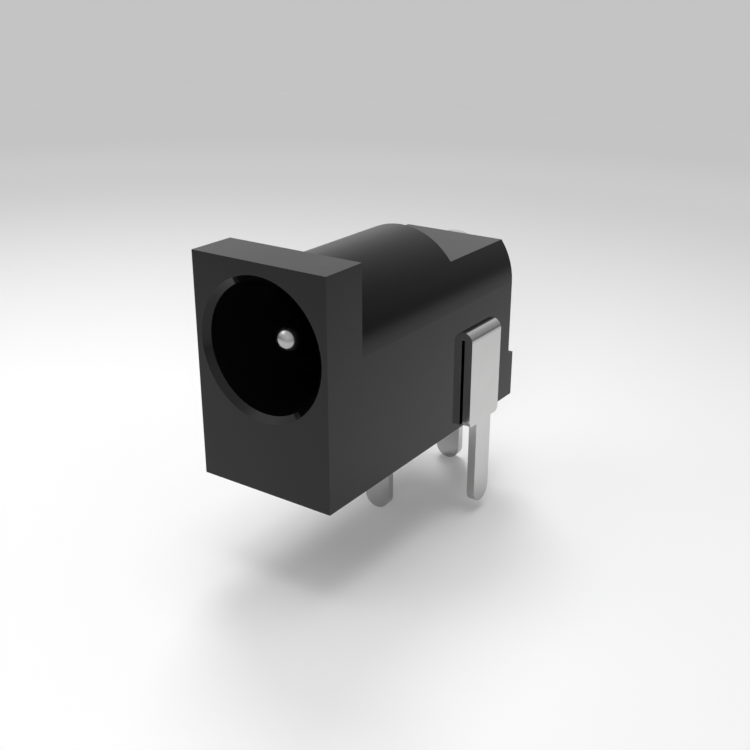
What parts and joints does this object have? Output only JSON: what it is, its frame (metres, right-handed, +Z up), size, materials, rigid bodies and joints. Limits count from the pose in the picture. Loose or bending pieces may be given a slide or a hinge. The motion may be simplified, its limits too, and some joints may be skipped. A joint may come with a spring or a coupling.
{
  "type": "dc barrel jack",
  "caption": "Black right-angle DC power jack for a circuit board: tall front plate with round socket and centre pin, half-round barrel, flat solder pins.",
  "frame": {"origin": "middle of the front plate's face, at the underside of the housing, which lies on the board", "axes": "+X to the right seen from the socket's mouth, +Y back into the jack, +Z up away from the board"},
  "size_m": [0.0085, 0.0175, 0.016],
  "materials": {
    "black_plastic": "satin",
    "pin_plating": "polished",
    "terminal_plating": "satin"
  },
  "bodies": {
    "root": {"housing": "black_plastic", "centre_pin": "pin_plating", "rear_terminal": "terminal_plating", "sleeve_contact": "terminal_plating", "switch_terminal": "terminal_plating"}
  },
  "joints": []
}
